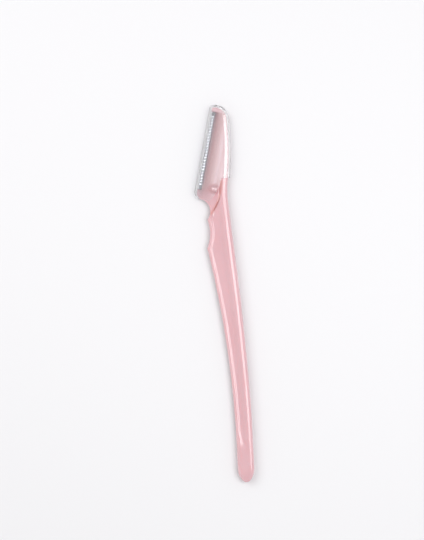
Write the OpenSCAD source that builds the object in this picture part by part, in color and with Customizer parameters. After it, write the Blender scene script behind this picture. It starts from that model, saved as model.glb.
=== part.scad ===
// Eyebrow razor: a moulded handle, a guarded blade seated in its head, and a clear cap that slides off.
// Millimetres. The razor lies on its side: +Y runs to the tip, +X to the spine, +Z up.
// The head is drawn in its own plane: its u axis crosses the head from the cutting edge to the spine,
// and its v axis runs along the cutting edge from the foot of the blade to the tip.

/* [Blade and guard] */
// Length of the blade along its edge
blade_l = 31.2; // [28:0.2:34]
// Width of the blade from its edge to its buried back
blade_w = 5; // [4.4:0.1:5.6]
// Thickness of the blade
blade_t = 0.3; // [0.2:0.05:0.4]
// Width of the ground bevel
bevel_w = 1; // [0.6:0.1:1.2]
// Angle between the cutting edge and the handle
blade_lean = 16; // [12:0.5:18]
// Diameter of each anchor hole in the blade
anchor_d = 1.4; // [1:0.1:1.6]
// Thickness of the guard's folded sheet
guard_t = 0.12; // [0.08:0.01:0.16]
// Width of each leg of the guard
guard_w = 3; // [2.8:0.1:3.2]
// Gap from the guard's fold to the cutting edge
edge_gap = 0.3; // [0.2:0.05:0.4]
// Distance from one guard slot to the next
slot_pitch = 1.18; // [1:0.02:1.4]
// Width of each guard slot
slot_w = 0.5; // [0.4:0.05:0.6]
// Reach of each guard slot from the fold
slot_l = 1.15; // [0.9:0.05:1.25]
// Slant of the guard slots
slot_slant = 14; // [0:1:20]

/* [Head] */
// Distance from the spine to the foot of the blade
foot_in = 12.35; // [12:0.05:12.8]
// Distance from the neck down to the foot of the blade
foot_down = 3.4; // [3:0.1:3.8]
// Width of the head at the top of the blade
head_top_w = 5.7; // [5.5:0.05:6.2]
// Metal that shows outside the plastic
blade_reveal = 1.5; // [1.35:0.05:1.8]
// Thickness of the head along the spine
head_back_t = 2.4; // [2.2:0.05:2.6]
// Thickness of the head along the cutting edge
head_front_t = 1.44; // [1.2:0.02:1.6]
// Radius of the rounded tip
tip_r = 4.4; // [4:0.1:5]
// Plastic toe beside the foot of the blade
toe_out = 0.12; // [0.08:0.02:0.3]
// Roundness of the lobe under the blade
lobe_bulge = 1.15; // [0.9:0.05:1.3]
// Diameter of the nub that grips the cap
nub_d = 2.4; // [2:0.1:2.8]
// Height of the nub over the head
nub_h = 0.32; // [0.2:0.02:0.36]

/* [Grip] */
// Length from the neck to the end of the tail
grip_l = 120.7; // [105:0.1:135]
// Diameter of the spine at the grip
spine_d = 4.6; // [4.4:0.05:4.8]
// Diameter of the spine at the neck
neck_d = 2.7; // [2.5:0.05:2.8]
// Diameter of the spine at the tip
tip_d = 2; // [1.9:0.05:2.2]
// Diameter of the spine at the tail
tail_d = 3.4; // [3:0.1:3.8]
// Thickness of the rim along the fingers
rim_d = 1.9; // [1.7:0.05:2.1]
// Thickness of the web between spine and rim
web_t = 1.4; // [1.2:0.05:1.6]
// Depth of the thumb rest pressed into the web
thumb_depth = 0.12; // [0.08:0.01:0.2]
// Distance from the neck down to the thumb rest's lower end on the spine's side
thumb_spine_y = 10.6; // [9.6:0.1:11.6]
// Distance from the neck down to its lower end on the finger side
thumb_rim_y = 21.2; // [19.5:0.1:22.5]
// Width of the grip where the lobe ends
lobe_w = 10.5; // [10.2:0.1:10.8]
// Distance from the neck down to the end of the lobe
lobe_y = 7.95; // [7.6:0.05:8.3]
// Width of the grip at the ridge between the finger notches
ridge_w = 9.75; // [9.3:0.05:10.2]
// Distance from the neck down to that ridge
ridge_y = 15.6; // [15:0.1:16.4]
// Width of the grip below the second notch
palm_w = 10.9; // [10.4:0.1:11.4]
// Distance from the neck down to the end of the second notch
palm_y = 27; // [25:0.5:30]
// Width of the tail
tail_w = 7.7; // [7:0.1:8.4]
// Length of the rounded end of the tail
tail_round = 5.5; // [4.5:0.1:6.5]
// Length of the solid tail where the web ends
tail_solid = 13; // [10:0.5:16]
// Depth of the first finger notch
notch_depth = 1.8; // [1.5:0.05:2]
// Depth of the second finger notch
palm_depth = 1.1; // [0.8:0.05:1.4]
// Depth of the long waist
waist_depth = 2.4; // [1.6:0.1:3]
// Depth of the narrow flat along the crest of the spine and cap, that the razor rests on
land_depth = 0.1; // [0.08:0.01:0.14]

/* [Cap] */
// Wall of the cap
cap_wall = 0.7; // [0.6:0.05:0.9]
// Running gap between the cap and the head
cap_gap = 0.25; // [0.2:0.05:0.35]
// Radius of the cap's lower front corner
cap_corner_r = 3; // [2.6:0.1:3.2]
// Length over which the closed end of the cap rounds off
cap_crown = 1.1; // [1:0.05:1.4]
// Sweep of the cap's curved mouth
mouth_bulge = 0.9; // [0.6:0.05:1.1]

/* [Hidden] */

// Overrun of every cut
over = 1;
// Width of the slope from the head's plate down to the web
step_w = 0.3;
// Running room round each anchor peg
peg_gap = 0.03;
// Small corner radius inside the cap
cap_fillet = 0.35;

// Places on the handle, in the plane of the razor, with the neck at the origin
foot = [-foot_in, -foot_down];
lobe_end = [-lobe_w, -lobe_y];
ridge = [-ridge_w, -ridge_y];
palm = [-palm_w, -palm_y];
tail_start = [-tail_w, tail_round - grip_l];

// Shares, chosen by hand
// Each row: share of the grip's length below the neck, share of the spine's diameter that the back stands out
spine_line_shares = [
    [-1, -0.3], [-0.75, 0.02], [-0.45, 0.07], [-0.22, -0.07], [-0.12, -0.15], [-0.05, -0.17], [0, 0]
];
// How much of the back's drop to the tip comes from its slope at the neck
back_slope_share = 0.48;
// Part of the grip over which the spine swells from the neck to its full size
spine_swell_share = 0.2;
// Where the step meets the first notch, on the way from the lobe to the ridge
horn_share = 0.88;
// Sweep of the step and of the crease, over their length
sweep_share = 0.1;
anchor_shares = [0.14, 0.5, 0.86];
nub_across_share = 0.59;
nub_along_share = 0.04;
tip_start_share = 0.965;
mouth_low_share = 0.64;
crease_top_share = 1.2;
crease_low_share = 0.82;
// How far the rounding of a closed end reaches past it, so that the end stays a little open
crown_share = 1.1;
// Most of the grip's width that rim and spine take together
fit_share = 0.92;
// Least distance between two corners of a ring, over the room between rim and spine
least_share = 0.02;
// Where the rim has melted into the web below the step
melt_shares = [0.4, 0.7];

// Half the turn of the flat crest on a round back, and the height of that flat over the middle plane
crest_turn = 12;
rest_half = spine_d / 2 - land_depth;

// Facets of an arc, of a hole, of the rim, of half the spine and of the rise to it
arc_n = 16;
hole_n = 32;
rim_n = 4;
bead_n = 5;
rise_n = 4;
// Rings of the handle's tail and tip, and between the places where its outline changes
tail_n = 8;
tip_n = 6;
ring_counts = [6, 16, 8, 1, 10, 8, 4, 9];
// Rings of the cap's side and of its closed end, and facets of its corners
cap_n = 12;
cap_end_n = 8;
corner_n = 3;
// Last turn of the rings round the ends of the cap and the handle
cap_end_turn = 80;
tip_end_turn = 84;

function smooth(t) = t <= 0 ? 0 : t >= 1 ? 1 : t * t * (3 - 2 * t);
function mix(a, b, t) = a + (b - a) * t;
function turned(p, a) = [p.x * cos(a) - p.y * sin(a), p.x * sin(a) + p.y * cos(a)];

// Between the plane of the razor and that of the head
function to_razor(p) = foot + turned(p, -blade_lean);
function to_head(p) = turned(p - foot, blade_lean);

// Arc from a to b that bulges to the left of the way by sag, or to the right when sag is below zero
function arc_radius(a, b, sag) = let (c = norm(b - a)) (c * c / 4 + sag * sag) / (2 * abs(sag));
function arc_centre(a, b, sag) =
    let (c = norm(b - a), left = [a.y - b.y, b.x - a.x] / c)
    (a + b) / 2 + left * (sag - sign(sag) * arc_radius(a, b, sag));
function arc(a, b, sag, n = arc_n) =
    let (o = arc_centre(a, b, sag), half = 2 * atan(2 * abs(sag) / norm(b - a)))
    [for (i = [0:n]) o + turned(a - o, -sign(sag) * 2 * half * i / n)];
// Place across at height y on such an arc that runs down
function arc_x(a, b, sag, y) =
    let (o = arc_centre(a, b, sag), r = arc_radius(a, b, sag))
    o.x + sign(sag) * sqrt(max(0, r * r - pow(y - o.y, 2)));

// Smooth curve through a table of [place, value]
function row_at(table, t, i = 0) = i >= len(table) - 2 || t < table[i + 1][0] ? i : row_at(table, t, i + 1);
function slope_at(table, i) =
    let (a = max(i - 1, 0), b = min(i + 1, len(table) - 1))
    (table[b][1] - table[a][1]) / (table[b][0] - table[a][0]);
function smooth_at(table, t) =
    let (
        i = row_at(table, t), gap = table[i + 1][0] - table[i][0], s = (t - table[i][0]) / gap,
        s2 = s * s, s3 = s2 * s
    )
    (2 * s3 - 3 * s2 + 1) * table[i][1] + (s3 - 2 * s2 + s) * gap * slope_at(table, i)
        + (3 * s2 - 2 * s3) * table[i + 1][1] + (s3 - s2) * gap * slope_at(table, i + 1);

// The back of the head, in the plane of the head
neck_at = to_head([0, 0]);
back_run = blade_l - neck_at.y;
back_drop = neck_at.x - head_top_w;
function back_u(v) =
    let (s = (v - neck_at.y) / back_run)
    neck_at.x - back_drop * (back_slope_share * s + (1 - back_slope_share) * s * s);
function back_slope(v) =
    let (s = (v - neck_at.y) / back_run)
    -back_drop / back_run * (back_slope_share + 2 * (1 - back_slope_share) * s);

// The rounded tip starts where the back leaves it, and its centre lies square to the back there
tip_start = blade_l * tip_start_share;
tip_turn = atan(-back_slope(tip_start));
tip_centre = [back_u(tip_start), tip_start] - tip_r * [cos(tip_turn), sin(tip_turn)];

// Right and left sides of the head's outline grown by d, at height v
function side_right(v, d) =
    v < tip_centre.y + (tip_r + d) * sin(tip_turn)
        ? back_u(v) + d / cos(atan(back_slope(v)))
        : tip_centre.x + sqrt(max(0, pow(tip_r + d, 2) - pow(v - tip_centre.y, 2)));
function side_left(v, d, wall_u) =
    v < tip_centre.y ? wall_u
        : max(wall_u, tip_centre.x - sqrt(max(0, pow(tip_r + d, 2) - pow(v - tip_centre.y, 2))));

// The lobe under the blade, in the plane of the head
lobe_from = [-toe_out, -toe_out];
lobe_to = to_head(lobe_end);
lobe_left = arc_centre(lobe_from, lobe_to, -lobe_bulge).x - arc_radius(lobe_from, lobe_to, -lobe_bulge);
lobe_start = to_razor(lobe_from);

// The step between head and web, and the crease at the lower end of the thumb rest
step_top = [-neck_d, 0];
step_horn_y = mix(-lobe_y, -ridge_y, horn_share);
step_horn = [arc_x(lobe_end, ridge, notch_depth, step_horn_y), step_horn_y];
step_bulge = norm(step_top - step_horn) * sweep_share;
crease_top = [-neck_d * crease_top_share, -thumb_spine_y];
crease_low = [-ridge_w * crease_low_share, -thumb_rim_y];
crease_bulge = norm(crease_top - crease_low) * sweep_share;

// Half the thickness of the head at a place in the plane of the razor
function plate_half(u) = mix(head_front_t, head_back_t, (u + toe_out) / (foot_in + toe_out)) / 2;
function plate_z(x, y) = plate_half(to_head([x, y]).x);

// The spine's outer side and radius at height y, in the plane of the razor
tip = to_razor(tip_centre);
top_y = to_razor([back_u(tip_start), tip_start]).y;
function v_at(y, u) = (y - foot.y + u * sin(blade_lean)) / cos(blade_lean);
function back_v(y) = v_at(y, back_u(v_at(y, back_u(neck_at.y + y))));
function tip_half(y) = sqrt(max(0, tip_r * tip_r - pow(y - tip.y, 2)));
function spine_x(y) =
    y <= 0 ? smooth_at(spine_line_shares, y / grip_l) * spine_d
        : y < top_y ? to_razor([back_u(back_v(y)), back_v(y)]).x
        : tip.x + tip_half(y);
swell_l = spine_swell_share * grip_l;
function spine_r(y) =
    y >= 0 ? mix(neck_d, tip_d, smooth(y / top_y)) / 2
        : y > -swell_l ? mix(neck_d, spine_d, smooth(-y / swell_l)) / 2
        : mix(spine_d, tail_d, smooth((-y - swell_l) / (grip_l - swell_l))) / 2;

// The finger side at height y, and above the lobe the line just outside the cutting edge
function front_x(y) = foot.x - toe_out / cos(blade_lean) + (y - foot.y) * tan(blade_lean);
function finger_x(y) =
    y <= tail_start.y ? -tail_w
        : y <= palm.y ? arc_x(palm, tail_start, waist_depth, y)
        : y <= ridge.y ? arc_x(ridge, palm, palm_depth, y)
        : y <= lobe_end.y ? arc_x(lobe_end, ridge, notch_depth, y)
        : y <= lobe_start.y ? arc_x(lobe_start, lobe_end, -lobe_bulge, y)
        : y <= tip.y ? front_x(y)
        : max(front_x(y), tip.x - tip_half(y));

// From the flat crest of a round back down to its side, on a back of radius r that ends at right
function crest_arc(right, r, k = 1) = [
    for (i = [0:bead_n])
        let (a = (90 - crest_turn) * (1 - i / bead_n))
        [right - k * r * (1 - cos(a)), min(rest_half, r * sin(a))]
];

// One ring of the handle: a round rim, the head's plate, the step down to the web, the thumb rest, the spine
tail_melt = tail_solid - tail_round;
function end_scale(y) = y < tail_start.y ? sqrt(max(0, 1 - pow((tail_start.y - y) / tail_round, 2))) : 1;
function end_thick(y) =
    y < tail_start.y ? sqrt(end_scale(y))
        : sqrt(1 - pow(max(0, y - tip.y - tip_r + tip_d) / (tip_d * crown_share), 2));
function held(x, low, high) = min(max(x, low), high);
function handle_ring(y) =
    let (
        e = end_scale(y), middle = (finger_x(y) + spine_x(y)) / 2,
        left = mix(middle, finger_x(y), e), right = mix(middle, spine_x(y), e),
        solid = smooth((-y - grip_l + tail_solid + tail_melt) / tail_melt),
        rb = spine_r(y), crest = min(rest_half, rb * cos(crest_turn)),
        rim = mix(rim_d / 2, plate_z(left, y), smooth((y - step_horn_y) / notch_depth)),
        rr = mix(rim, crest, solid),
        k = min(1, fit_share * (right - left) / (2 * (rr + rb))),
        rim_x = left + k * rr, rise_x = right - 2 * k * rb, crest_x = right - k * rb * (1 + sin(crest_turn)),
        in_head = y > step_horn_y, gap = (crest_x - rim_x) * least_share,
        // The step, its foot and the crease, kept in this order with room for the places that follow
        step_x = arc_x(step_top, step_horn, step_bulge, held(y, step_horn_y, 0)),
        crease_x = arc_x(crease_top, crease_low, crease_bulge, held(y, -thumb_rim_y, -thumb_spine_y)),
        x1 = in_head
            ? held(step_x - step_w / 2, rim_x + 2 * gap, crest_x - 7 * gap)
            : rim_x + k * rr * melt_shares[0],
        x2 = in_head
            ? held(step_x + step_w / 2, x1 + gap, crest_x - 6 * gap)
            : rim_x + k * rr * melt_shares[1],
        foot_x = max(rim_x + k * rr, x2 + gap),
        x3 = max(foot_x + 2 * gap, min(crease_x, rise_x - gap)),
        x4 = max(rise_x, x3 + gap),
        // How far the web and the thumb rest hold at this height, against the head's plate
        web_hold = smooth(-y / neck_d), head_hold = in_head ? 1 : 0,
        thumb = thumb_depth * smooth((y + thumb_rim_y) / (thumb_rim_y + step_horn_y)) * web_hold,
        web = mix(web_t / 2, crest, solid),
        floor_z = function(x) mix(plate_z(x, y), web - thumb * held((x3 - x) / (x3 - x2), 0, 1), web_hold),
        low_z = function(x) max(
            mix(rr, floor_z(x), smooth((x - rim_x) / (k * rr))),
            mix(floor_z(x), crest, smooth((x - rise_x) / (crest_x - rise_x)))
        ),
        high_z = function(x) max(low_z(x), plate_z(x, y) * head_hold),
        upper = concat(
            [for (i = [0:rim_n]) let (a = 180 - 90 * i / rim_n) [left + k * rr * (1 + cos(a)), rr * sin(a)]],
            [for (x = [(rim_x + x1) / 2, x1]) [x, high_z(x)]],
            [for (x = [x2, foot_x, (foot_x + x3) / 2, x3]) [x, low_z(x)]],
            [for (i = [0:rise_n]) let (x = mix(x4, crest_x, i / rise_n)) [x, low_z(x)]],
            crest_arc(right, rb, k)
        ),
        last = len(upper) - 1, thick = end_thick(y)
    )
    concat(
        [for (p = upper) [p.x, y, p.y * thick]],
        [for (i = [last - 1:-1:1]) [upper[i].x, y, -upper[i].y * thick]]
    );
ring_stops = [
    tail_start.y, tail_start.y + tail_solid, palm.y, ridge.y, step_horn_y, lobe_end.y, lobe_start.y, 0, top_y
];
top_turn = asin((top_y - tip.y) / tip_r);
handle_heights = concat(
    [for (i = [1:tail_n]) tail_start.y - tail_round * cos(90 * i / (tail_n + 1))],
    [
        for (k = [0:len(ring_counts) - 1], i = [0:ring_counts[k] - 1])
            mix(ring_stops[k], ring_stops[k + 1], i / ring_counts[k])
    ],
    [for (i = [0:tip_n]) tip.y + tip_r * sin(mix(top_turn, tip_end_turn, i / tip_n))]
);

// A closed solid through rings of points, all with the same number of points
module loft(rings) {
    n = len(rings[0]);
    last = (len(rings) - 1) * n;
    polyhedron(
        [for (ring = rings) each ring],
        concat(
            [
                for (j = [0:len(rings) - 2], i = [0:n - 1])
                    let (a = j * n + i, b = j * n + (i + 1) % n)
                    each [[a, b + n, b], [a, a + n, b + n]]
            ],
            [[for (i = [0:n - 1]) i]],
            [[for (i = [n - 1:-1:0]) last + i]]
        )
    );
}

// From the plane of the head to the plane of the razor
module on_head() translate(foot) rotate(-blade_lean) children();

// The cap's outline in the plane of the head: how far it stands off, its straight wall and its rounded corner
cap_d = cap_gap + cap_wall;
cap_left = min(lobe_left, 0) - cap_d;
cap_low_v = lobe_to.y - cap_corner_r;
corner_centre = [cap_left + cap_corner_r, lobe_to.y + cap_corner_r];
corner = [for (i = [0:arc_n]) let (a = 180 + 90 * i / arc_n) corner_centre + cap_corner_r * [cos(a), sin(a)]];

// Lays the razor down: the origin is under the middle of its box
low_x = min([for (p = corner) to_razor(p).x]);
high_x = max([for (v = cap_heights(cap_d)) to_razor([side_right(v, cap_d), v]).x]);
high_y = max([for (v = cap_heights(cap_d)) to_razor([side_left(v, cap_d, cap_left), v]).y]);
low_y = handle_heights[0];
module lay_down() translate([-(low_x + high_x) / 2, -(low_y + high_y) / 2, rest_half]) children();

// The nub is a low dome on each side of the head
module nub() {
    u = neck_at.x * nub_across_share;
    half = plate_half(u) + nub_h;
    dome_r = (nub_d * nub_d / 4 + nub_h * nub_h) / (2 * nub_h);
    translate([u, blade_l * nub_along_share, 0])
        intersection() {
            cylinder(h = 2 * half, d = nub_d, center = true, $fn = hole_n);
            for (side = [-1, 1])
                translate([0, 0, side * (half - dome_r)]) sphere(dome_r, $fn = 3 * hole_n);
        }
}

// The window that bares the metal, and the slot that holds blade and guard
anchor_u = edge_gap + (guard_w + blade_w) / 2;
fold_r = blade_t / 2 + guard_t;
module blade_seat() {
    difference() {
        union() {
            translate([-over, 0, -head_back_t]) cube([over + blade_reveal, blade_l, 2 * head_back_t]);
            translate([-over, 0, -blade_t / 2]) cube([over + edge_gap + blade_w, blade_l, blade_t]);
            translate([-over, 0, -fold_r]) cube([over + guard_w, blade_l, 2 * fold_r]);
        }
        for (s = anchor_shares)
            translate([anchor_u, blade_l * s, 0])
                cylinder(h = blade_t + over, d = anchor_d - 2 * peg_gap, center = true, $fn = hole_n);
    }
}

module handle() color("pink") lay_down() {
    difference() {
        union() {
            loft([for (y = handle_heights) handle_ring(y)]);
            on_head() nub();
        }
        on_head() blade_seat();
    }
}

module blade() color("lightsteelblue") lay_down() on_head() {
    difference() {
        translate([0, blade_l, 0]) rotate([90, 0, 0])
            linear_extrude(blade_l)
                polygon([
                    [edge_gap, 0], [edge_gap + bevel_w, -blade_t / 2], [edge_gap + blade_w, -blade_t / 2],
                    [edge_gap + blade_w, blade_t / 2], [edge_gap + bevel_w, blade_t / 2]
                ]);
        for (s = anchor_shares)
            translate([anchor_u, blade_l * s, 0])
                cylinder(h = blade_t + over, d = anchor_d, center = true, $fn = hole_n);
    }
}

// The guard is a sheet folded over the edge, with a row of slots that bare it
slot_count = floor((blade_l - slot_pitch) / slot_pitch);
module guard() color("silver") lay_down() on_head() {
    difference() {
        translate([0, blade_l, 0]) rotate([90, 0, 0])
            linear_extrude(blade_l)
                difference() {
                    union() {
                        translate([fold_r, 0]) circle(fold_r, $fn = hole_n);
                        translate([fold_r, -fold_r]) square([guard_w - fold_r, 2 * fold_r]);
                    }
                    translate([fold_r, 0]) circle(blade_t / 2, $fn = hole_n);
                    translate([fold_r, -blade_t / 2]) square([guard_w, blade_t]);
                }
        for (i = [0:slot_count - 1])
            translate([0, blade_l / 2 + (i - (slot_count - 1) / 2) * slot_pitch, 0]) rotate(slot_slant) {
                translate([-over, -slot_w / 2, -over]) cube([over + slot_l - slot_w / 2, slot_w, 2 * over]);
                translate([slot_l - slot_w / 2, 0, -over]) cylinder(h = 2 * over, d = slot_w, $fn = arc_n);
            }
    }
}

// One ring of the cap at height v, grown by d from the head, its wall on the edge side at u = wall_u
function cap_ring(v, d, wall_u, front_half, fillet, thick) =
    let (
        y = to_razor([back_u(v), v]).y,
        left = side_left(v, d, wall_u), right = side_right(v, d),
        rr = min(spine_r(max(y, 0)) + d, (right - left) / 2), c = min(fillet, (right - left) / 4),
        upper = concat(
            [
                for (i = [0:corner_n])
                    let (a = 180 - 90 * i / corner_n)
                    [left + c + c * cos(a), front_half - c + c * sin(a)]
            ],
            [[right - rr - rr * sin(crest_turn), min(rest_half, rr * cos(crest_turn))]],
            crest_arc(right, rr)
        ),
        last = len(upper) - 1
    )
    concat(
        [for (p = upper) [p.x, v, p.y * thick]],
        [for (i = [last - 1:-1:0]) [upper[i].x, v, -upper[i].y * thick]]
    );

// Heights of its rings. The hollow, which is nearer to the head, runs out past the mouth
function cap_heights(d) = concat(
    [for (i = [0:cap_n - 1]) mix(cap_low_v - (d < cap_d ? over : 0), tip_start, i / cap_n)],
    [for (i = [0:cap_end_n]) mix(tip_start, tip_centre.y + tip_r + d, sin(cap_end_turn * i / cap_end_n))]
);
module cap_form(d, wall_u, front_half, fillet, crown) {
    top = tip_centre.y + tip_r + d;
    loft([
        for (v = cap_heights(d))
            let (past = max(0, v - top + crown) / (crown * crown_share))
            cap_ring(v, d, wall_u, front_half, fillet, sqrt(max(0, 1 - past * past)))
    ]);
}

// Everything below the cap's mouth, in the plane of the head
mouth_neck = to_head([-neck_d, 0]);
mouth_low = [mouth_neck.x * mouth_low_share, lobe_to.y];
mouth_reach = neck_d + cap_d + over;
module mouth_cut() {
    linear_extrude(2 * (rest_half + over), center = true)
        polygon(concat(
            [[cap_left - over, corner_centre.y]],
            [for (i = [1:arc_n]) corner[i]],
            arc(mouth_low, mouth_neck, -mouth_bulge),
            [
                mouth_neck + mouth_reach * [cos(blade_lean), sin(blade_lean)],
                [foot_in + mouth_reach, cap_low_v - 2 * over], [cap_left - over, cap_low_v - 2 * over]
            ]
        ));
}

module cap() color("white", 0.4) lay_down() on_head() {
    inner_half = head_front_t / 2 + cap_gap;
    difference() {
        cap_form(cap_d, cap_left, inner_half + cap_wall, cap_wall, cap_crown);
        cap_form(cap_gap, cap_left + cap_wall, inner_half, cap_fillet, cap_gap);
        mouth_cut();
    }
}

handle();
blade();
guard();
cap();
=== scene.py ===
# %% [markdown]
# An eyebrow razor with its clear cap on, lying on its side: a pale pink handle moulded in one piece, a
# straight blade behind a slotted steel guard, and a sheath of clear plastic. The packed model gives every
# size and place. This script redraws the handle and the cap with fine, round surfaces, folds the guard from
# foil and gives each piece its finish.

# %% Load the packed model
import math
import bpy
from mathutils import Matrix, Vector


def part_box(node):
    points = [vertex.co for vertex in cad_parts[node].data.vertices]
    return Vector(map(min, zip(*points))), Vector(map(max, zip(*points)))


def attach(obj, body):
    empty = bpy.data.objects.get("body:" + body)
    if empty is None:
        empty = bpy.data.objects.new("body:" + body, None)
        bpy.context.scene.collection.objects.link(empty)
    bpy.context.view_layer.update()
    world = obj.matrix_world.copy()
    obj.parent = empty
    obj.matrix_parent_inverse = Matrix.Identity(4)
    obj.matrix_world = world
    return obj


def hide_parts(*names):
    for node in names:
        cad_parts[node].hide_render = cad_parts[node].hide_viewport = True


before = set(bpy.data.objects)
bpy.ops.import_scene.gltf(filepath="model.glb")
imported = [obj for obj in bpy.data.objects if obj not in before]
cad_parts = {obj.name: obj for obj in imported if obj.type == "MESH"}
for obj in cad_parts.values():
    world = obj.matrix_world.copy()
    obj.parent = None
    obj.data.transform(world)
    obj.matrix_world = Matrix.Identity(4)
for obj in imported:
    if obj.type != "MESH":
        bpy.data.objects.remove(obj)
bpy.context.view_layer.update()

from types import SimpleNamespace

import bmesh
import bpy
import numpy as np
from mathutils import Matrix, Vector

# %% [markdown]
# The sizes are in millimetres, and two planes are used. In the plane of the razor the neck, where the head
# begins, is the zero point, y runs to the tip and x to the spine. In the plane of the head, u crosses it
# from the cutting edge to the spine and v runs along the edge, which leans 16 degrees to the handle. The foot
# of the edge is the zero point of u and v.

# %% Plane of the razor and plane of the head
MM = 0.001
BLADE_L, BLADE_W, BLADE_T = 31.2, 5.0, 0.3
BLADE_LEAN = math.radians(16)
EDGE_GAP = 0.3
FOOT_IN, FOOT_DOWN = 12.35, 3.4
COS, SIN, TAN = math.cos(BLADE_LEAN), math.sin(BLADE_LEAN), math.tan(BLADE_LEAN)
FOOT = (-FOOT_IN, -FOOT_DOWN)


def to_razor(u, v):
    return FOOT[0] + u * COS + v * SIN, FOOT[1] - u * SIN + v * COS


def to_head(x, y):
    dx, dy = x - FOOT[0], y - FOOT[1]
    return dx * COS - dy * SIN, dx * SIN + dy * COS


print("the edge runs from", FOOT, "to", [round(value, 2) for value in to_razor(0, BLADE_L)], "mm")

# %% [markdown]
# The blade is the one piece whose place is known exactly on both planes, so its box in the packed model
# tells where the neck lies. The razor's middle plane is half way up the handle.

# %% Find the neck and the middle plane in the packed model
blade_low = Vector(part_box("blade")[0]) / MM
handle_low, handle_high = (Vector(corner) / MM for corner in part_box("handle"))
NECK = Vector((
    blade_low.x - to_razor(EDGE_GAP, 0)[0],
    blade_low.y - to_razor(EDGE_GAP + BLADE_W, 0)[1],
    (handle_low.z + handle_high.z) / 2,
))
HALF_T = (handle_high.z - handle_low.z) / 2
print("neck at", [round(value, 2) for value in NECK], "mm, half thickness", round(HALF_T, 2), "mm")


def placed(points):
    """Points in the plane of the razor, in millimetres, as points of the packed model in metres."""
    return (np.asarray(points, float) + np.array(NECK)) * MM


# %% [markdown]
# The outline is made of arcs, as the mould's drawing would be. Each arc runs down the handle between two
# corners and has a bulge. A curve could be drawn by hand as well, but an arc has a place across at any height
# that one function works out.

# %% Arcs
def mix(a, b, t):
    return a + (b - a) * t


def smooth(t):
    t = np.clip(t, 0, 1)
    return t * t * (3 - 2 * t)


def held(value, low, high):
    return min(max(value, low), high)


def arc_circle(a, b, bulge):
    """Centre and radius of the arc from a down to b that bulges to the right, or left when negative."""
    ax, ay, bx, by = *a, *b
    chord = math.hypot(bx - ax, by - ay)
    radius = (chord ** 2 / 4 + bulge ** 2) / (2 * abs(bulge))
    reach = (bulge - math.copysign(radius, bulge)) / chord
    return (ax + bx) / 2 + (ay - by) * reach, (ay + by) / 2 + (bx - ax) * reach, radius


def arc_x(a, b, bulge, y):
    cx, cy, radius = arc_circle(a, b, bulge)
    return cx + math.copysign(1, bulge) * math.sqrt(max(0.0, radius ** 2 - (y - cy) ** 2))


print("an arc 10 mm long that bulges 1 mm has a radius of", arc_circle((0, 10), (0, 0), 1)[2], "mm")

# %% [markdown]
# The spine bends one way at the neck and the other way at the tail, without a corner. One arc can't do that,
# so the spine is the only line that gets a free curve through a few places.

# %% Smooth curve
def curve_through(table, t):
    """Smooth curve through rows of place and value."""
    places, values = zip(*table)
    i = held(int(np.searchsorted(places, t, side="right")) - 1, 0, len(table) - 2)

    def slope(k):
        low, high = max(k - 1, 0), min(k + 1, len(table) - 1)
        return (values[high] - values[low]) / (places[high] - places[low])

    gap = places[i + 1] - places[i]
    s = (t - places[i]) / gap
    return (
        (2 * s ** 3 - 3 * s ** 2 + 1) * values[i] + (s ** 3 - 2 * s ** 2 + s) * gap * slope(i)
        + (3 * s ** 2 - 2 * s ** 3) * values[i + 1] + (s ** 3 - s ** 2) * gap * slope(i + 1)
    )


print("half way between 0 and 1 the smooth curve is at", curve_through([(0, 0), (1, 1)], 0.5))

# %% [markdown]
# The back of the head tapers in a gentle curve from the neck to the tip, and the tip is a round arc that
# meets it without a corner. The curve is a parabola, since that needs only a width at each end and a slope.

# %% Outline of the head's back and tip
HEAD_TOP_W, TIP_R = 5.7, 4.4
BACK_SLOPE_SHARE, TIP_START_SHARE = 0.48, 0.965
neck_u, neck_v = to_head(0, 0)
back_run, back_drop = BLADE_L - neck_v, neck_u - HEAD_TOP_W


def back_u(v):
    s = (v - neck_v) / back_run
    return neck_u - back_drop * (BACK_SLOPE_SHARE * s + (1 - BACK_SLOPE_SHARE) * s * s)


def back_turn(v):
    s = (v - neck_v) / back_run
    return math.atan(back_drop / back_run * (BACK_SLOPE_SHARE + 2 * (1 - BACK_SLOPE_SHARE) * s))


tip_start = BLADE_L * TIP_START_SHARE
tip_turn = back_turn(tip_start)
tip_u, tip_v = back_u(tip_start) - TIP_R * math.cos(tip_turn), tip_start - TIP_R * math.sin(tip_turn)
tip_x, tip_y = to_razor(tip_u, tip_v)
top_y = to_razor(back_u(tip_start), tip_start)[1]


def tip_half(y):
    return math.sqrt(max(0.0, TIP_R ** 2 - (y - tip_y) ** 2))


print("tip of the head at y =", round(tip_y + TIP_R, 2), "mm")

# %% [markdown]
# The spine is the stiff back of the razor. Its rib is thickest a fifth of the way down the handle, and
# thinner at the neck and at the tail. The thickness eases from one of these to the next, because a rib of one
# thickness would look like a stick.

# %% Outline of the spine
GRIP_L, SPINE_D, NECK_D, TIP_D, TAIL_D = 120.7, 4.6, 2.7, 2.0, 3.4
SPINE_SWELL_SHARE = 0.2
# Place along the handle as a share of its length, and place across as a share of the spine's thickness
SPINE_LINE = [(-1, -0.3), (-0.75, 0.02), (-0.45, 0.07), (-0.22, -0.07), (-0.12, -0.15), (-0.05, -0.17),
              (0, 0)]


def spine_x(y):
    if y <= 0:
        return curve_through(SPINE_LINE, y / GRIP_L) * SPINE_D
    if y >= top_y:
        return tip_x + tip_half(y)
    v = neck_v + y
    for _ in range(4):
        v = (y - FOOT[1] + back_u(v) * SIN) / COS
    return to_razor(back_u(v), v)[0]


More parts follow.
